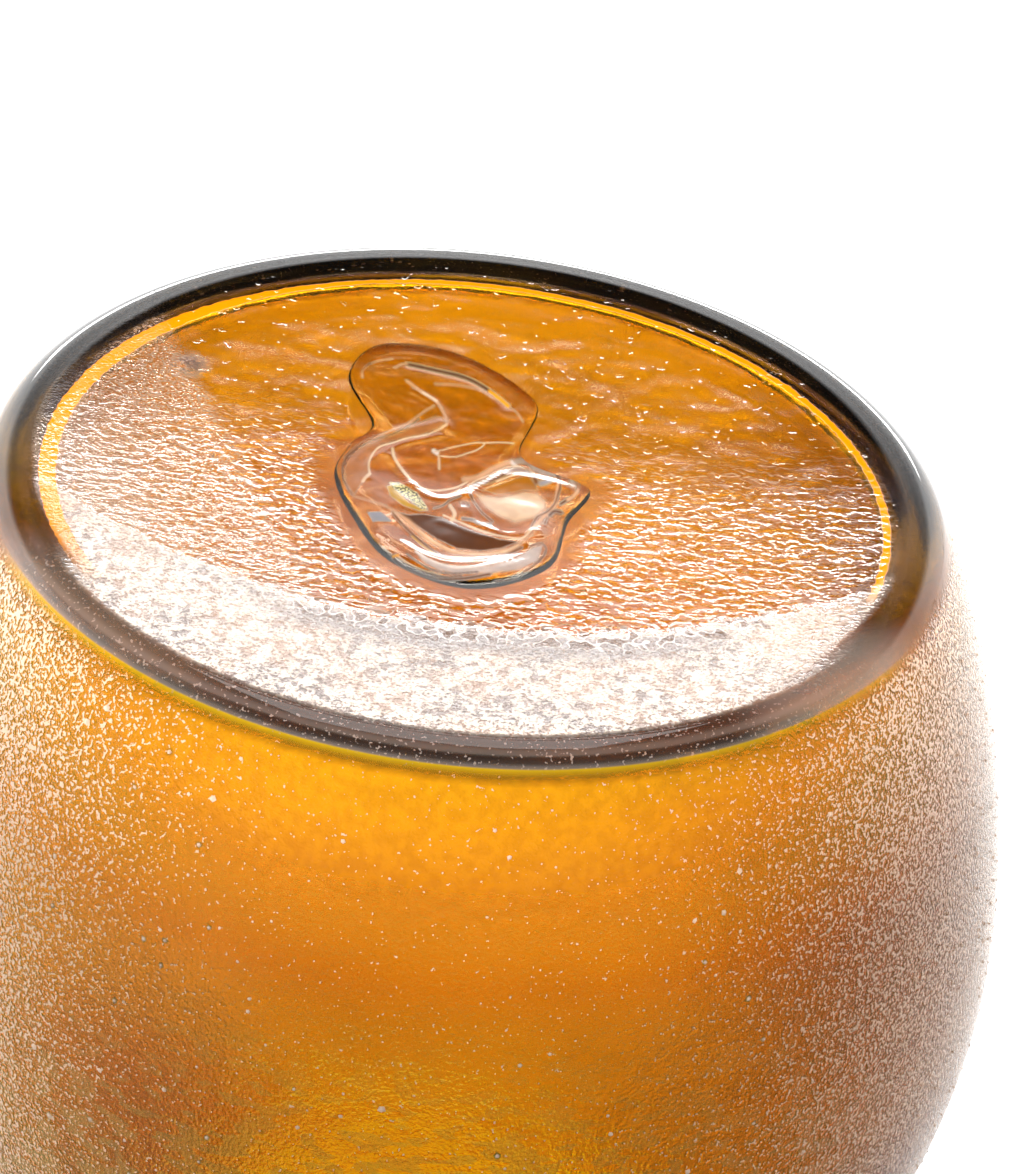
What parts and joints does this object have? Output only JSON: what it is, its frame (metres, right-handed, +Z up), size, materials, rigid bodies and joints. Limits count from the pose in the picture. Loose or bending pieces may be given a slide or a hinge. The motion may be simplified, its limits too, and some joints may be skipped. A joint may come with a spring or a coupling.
{
  "type": "art glass vase",
  "caption": "Round-bodied blown glass vase: amber inside, thick clear casing, frosted outside, narrowed throat and a broken-off punty scar under the base; holds cut flowers.",
  "frame": {"origin": "middle of the plane that the foot ring rests on", "axes": "+Z up through the mouth, along the axis of revolution; +X and +Y are across, with the tail of the punty scar towards +Y"},
  "size_m": [0.1432, 0.1432, 0.1542],
  "materials": {
    "amber_glass": "smooth transparent amber",
    "clear_glass": "clear with a slight smoky tone, fire-polished",
    "frosted_glass": "half-melted crushed clear glass, frosted and sparkling",
    "scar_glass": "torn clear glass, fire-polished and glossy"
  },
  "bodies": {
    "root": {"amber_bubble": "amber_glass", "clear_casing": "clear_glass", "frit_coat": "frosted_glass", "punty_scar": "scar_glass"}
  },
  "joints": []
}
